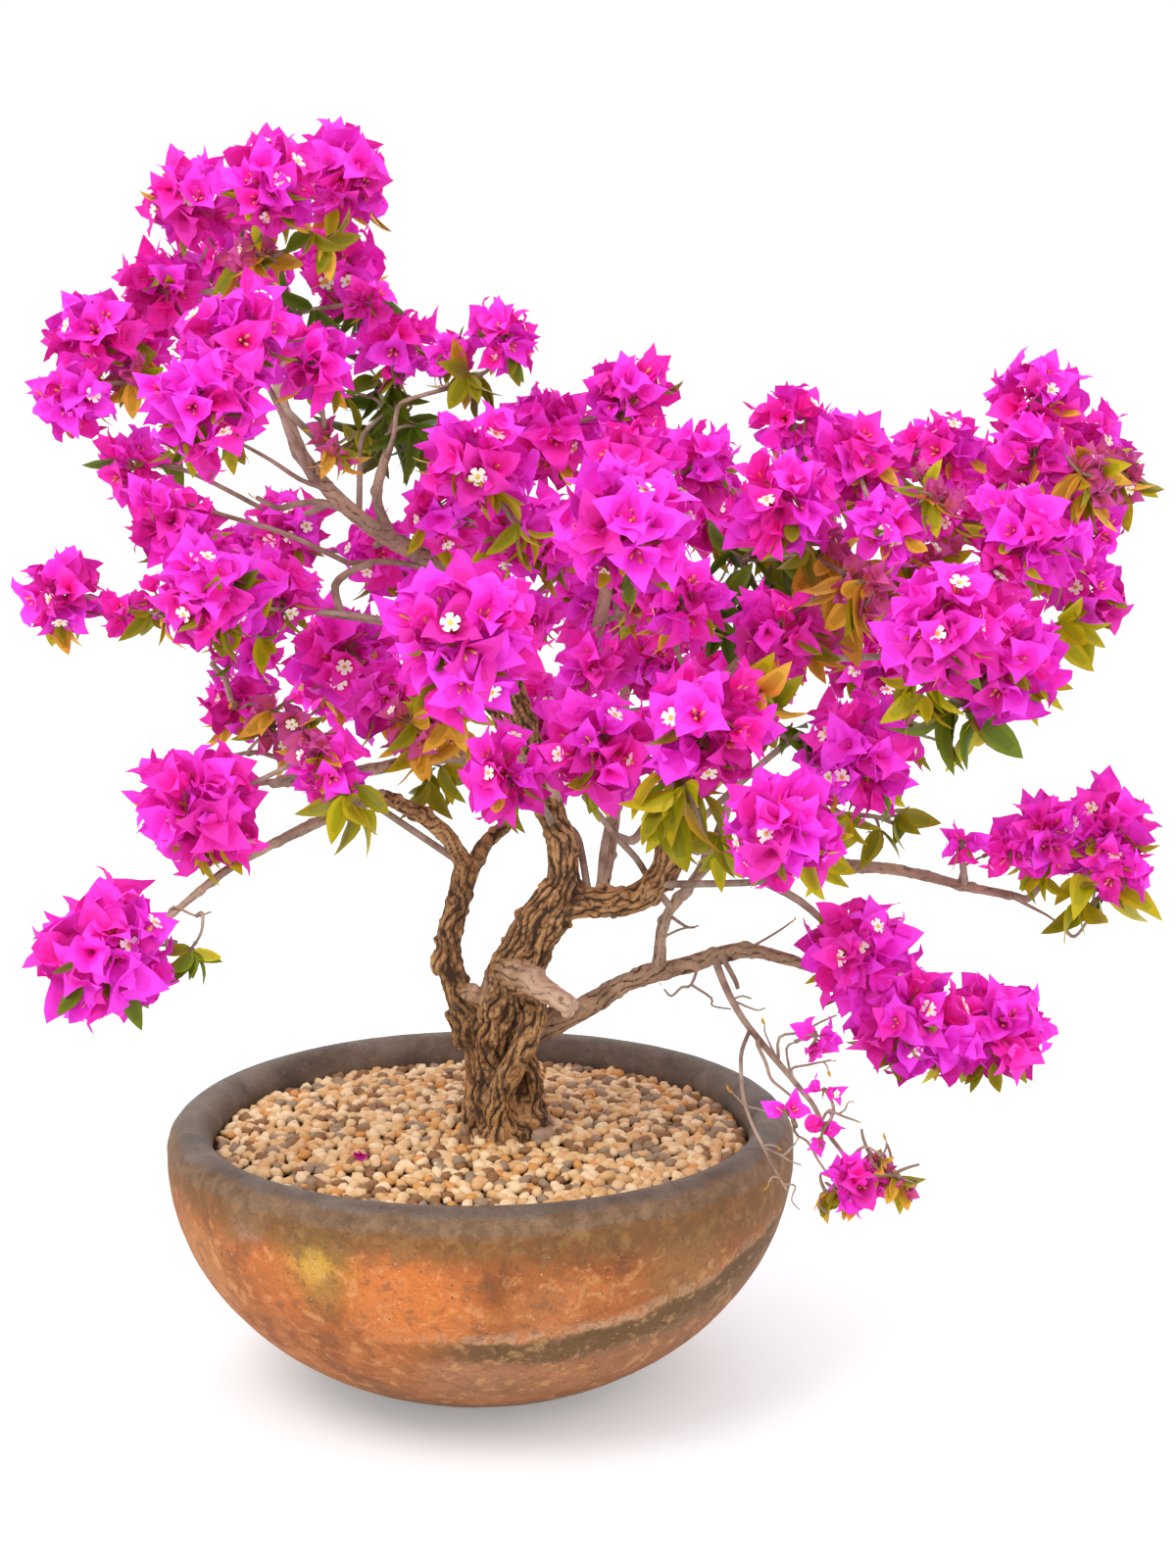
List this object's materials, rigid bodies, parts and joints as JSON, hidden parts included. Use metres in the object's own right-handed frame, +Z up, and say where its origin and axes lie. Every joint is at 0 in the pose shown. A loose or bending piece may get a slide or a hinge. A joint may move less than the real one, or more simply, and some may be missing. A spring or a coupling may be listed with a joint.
{
  "type": "potted bougainvillea",
  "caption": "Potted bougainvillea with a gnarled forking trunk, long open boughs and loose masses of magenta bracts, in a round terracotta bowl filled with gravel.",
  "frame": {"origin": "centre of the bowl's flat underside, where the pot stands", "axes": "+Z up; the plant's wide side faces -Y, with its long low bough towards +X"},
  "size_m": [0.9222, 0.6787, 1.0377],
  "materials": {
    "terracotta": "weathered, matt, mottled with lime and moss",
    "gravel": "rounded pea gravel, dry",
    "bark": "furrowed grey-brown bark",
    "blossom": "papery magenta bracts with green leaves among them"
  },
  "bodies": {
    "root": {"back_bough": "bark", "back_left_low_mass": "blossom", "back_left_mass": "blossom", "back_low_mass": "blossom", "back_middle_mass": "blossom", "back_right_high_mass": "blossom", "back_right_mass": "blossom", "centre_bough": "bark", "centre_front_mass": "blossom", "centre_low_mass": "blossom", "centre_mass": "blossom", "drooping_sprig_mass": "blossom", "far_left_mass": "blossom", "gravel": "gravel", "high_bough": "bark", "high_sprig_mass": "blossom", "inner_left_mass": "blossom", "left_arm": "bark", "left_back_mass": "blossom", "left_front_mass": "blossom", "left_inner_arm": "bark", "left_limb": "bark", "left_low_limb": "bark", "left_low_mass": "blossom", "left_lower_mass": "blossom", "left_small_mass": "blossom", "left_stem": "bark", "lone_left_mass": "blossom", "lone_right_mass": "blossom", "long_left_limb": "bark", "low_right_bough": "bark", "low_right_mass": "blossom", "low_riser": "bark", "main_stem": "bark", "middle_front_mass": "blossom", "middle_high_mass": "blossom", "middle_left_mass": "blossom", "pot": "terracotta", "right_big_mass": "blossom", "right_bough": "bark", "right_far_bough": "bark", "right_fork": "bark", "right_front_mass": "blossom", "right_high_left_mass": "blossom", "right_high_mass": "blossom", "right_inner_mass": "blossom", "right_low_front_mass": "blossom", "right_low_limb": "bark", "right_low_mass": "blossom", "right_middle_mass": "blossom", "right_sprig_mass": "blossom", "right_top_mass": "blossom", "sawn_stub": "bark", "top_bough": "bark", "top_left_mass": "blossom", "top_middle_mass": "blossom", "top_right_mass": "blossom", "trunk": "bark", "upper_left_bough": "bark"}
  },
  "joints": []
}
